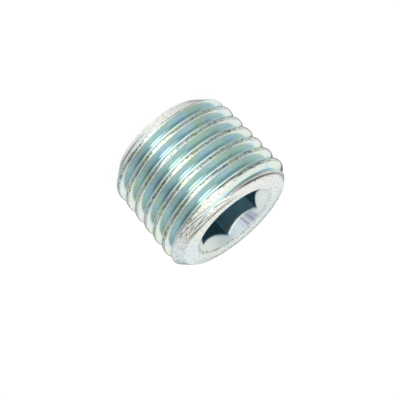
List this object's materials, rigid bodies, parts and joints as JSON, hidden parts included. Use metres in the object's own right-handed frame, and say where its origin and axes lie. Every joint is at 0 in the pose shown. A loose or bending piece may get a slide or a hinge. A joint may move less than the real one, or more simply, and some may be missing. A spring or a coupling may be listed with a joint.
{
  "type": "threaded plug",
  "caption": "Headless taper-threaded pipe plug with a countersunk hexagon socket, for sealing a threaded port.",
  "frame": {"origin": "centre of the flat blank end, which the plug stands on", "axes": "+Z along the thread's axis from the blank end out of the hexagon socket; a right-hand thread"},
  "size_m": [0.0135, 0.0136, 0.0107],
  "materials": {
    "zinc_plated_steel": "bright zinc plate with a pale blue passivation"
  },
  "bodies": {
    "root": {"plug": "zinc_plated_steel"}
  },
  "joints": []
}
